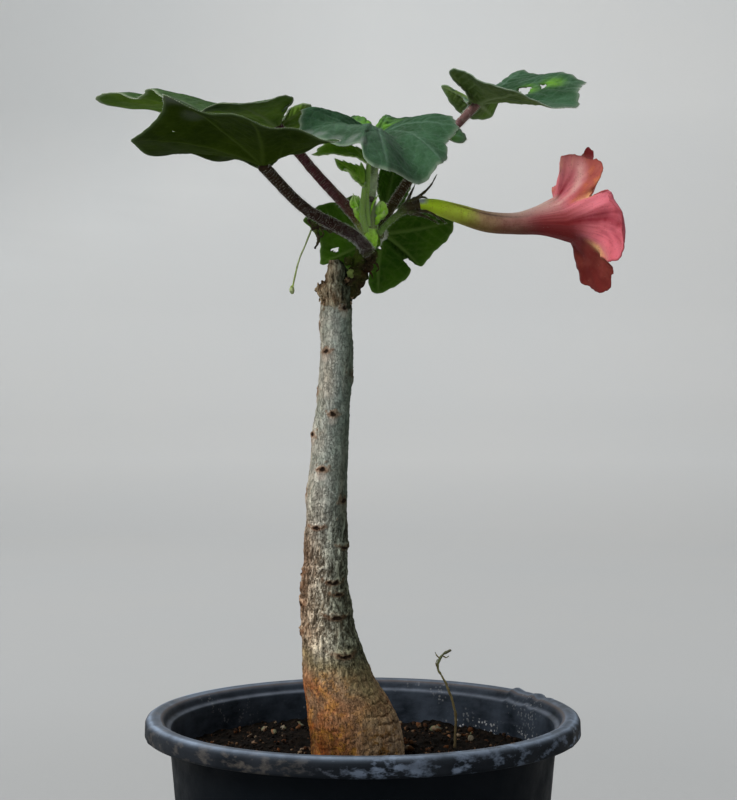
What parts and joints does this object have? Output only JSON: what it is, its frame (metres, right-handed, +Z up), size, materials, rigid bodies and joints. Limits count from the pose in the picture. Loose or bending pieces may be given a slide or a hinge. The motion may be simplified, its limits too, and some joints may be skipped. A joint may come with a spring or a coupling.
{
  "type": "potted uncarina",
  "caption": "Young potted uncarina: swollen grey trunk, velvety lobed leaves and a tubular pink flower in a black nursery pot of gritty soil.",
  "frame": {"origin": "middle of the pot's flat base", "axes": "+Z up along the pot's axis, +X towards the flower, -Y towards the viewer"},
  "size_m": [0.1866, 0.1635, 0.3594],
  "materials": {
    "pot_plastic": "black polypropylene, dusty and scuffed",
    "soil": "dark gritty mineral potting mix with pebbles",
    "bark": "grey-green bark, netted and orange-brown at the foot",
    "young_wood": "dark, knobbly and rough",
    "green_stem": "soft and finely hairy",
    "leaf": "velvety, veined",
    "leaf_stalk": "dark mauve, finely hairy",
    "young_leaf": "bright, felted",
    "calyx": "matt, hairy",
    "petal": "satin, veined",
    "stamen": "matt",
    "dry_calyx": "dry",
    "dry_twig": "dry"
  },
  "bodies": {
    "root": {"pot": "pot_plastic", "soil": "soil", "trunk": "bark", "shoot_wood": "young_wood", "shoot_tip": "green_stem", "leaf_blade_front_left": "leaf", "leaf_blade_left": "leaf", "leaf_blade_front": "leaf", "leaf_blade_right": "leaf", "leaf_blade_back": "leaf", "leaf_stalk_front_left": "leaf_stalk", "leaf_stalk_left": "leaf_stalk", "leaf_stalk_front": "green_stem", "leaf_stalk_right": "leaf_stalk", "leaf_stalk_back": "green_stem", "young_leaf_upper": "young_leaf", "young_leaf_lower": "young_leaf", "young_leaf_right": "young_leaf", "flower_calyx": "calyx", "flower_corolla": "petal", "flower_stamens": "stamen", "spent_calyx": "dry_calyx", "spent_style": "stamen", "dry_twig": "dry_twig"}
  },
  "joints": []
}
